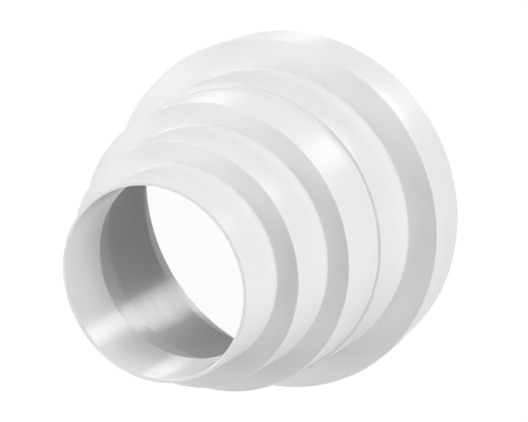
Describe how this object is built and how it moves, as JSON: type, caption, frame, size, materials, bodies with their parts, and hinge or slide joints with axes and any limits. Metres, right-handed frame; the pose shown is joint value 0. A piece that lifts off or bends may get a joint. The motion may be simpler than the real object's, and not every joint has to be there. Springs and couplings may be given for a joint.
{
  "type": "duct reducer",
  "caption": "Stepped round duct reducer in white moulded plastic: tapered spigots joined by flat ring shoulders, open right through, that join round air ducts of different sizes.",
  "frame": {"origin": "centre of the large rim, in the plane on which the part stands", "axes": "+Z along the axis of the duct, from the large open end to the small one; the part is round, so +X and +Y are free"},
  "size_m": [0.1506, 0.1506, 0.1265],
  "materials": {
    "white_plastic": "white moulded plastic, semi-gloss"
  },
  "bodies": {
    "root": {"duct_reducer": "white_plastic"}
  },
  "joints": []
}
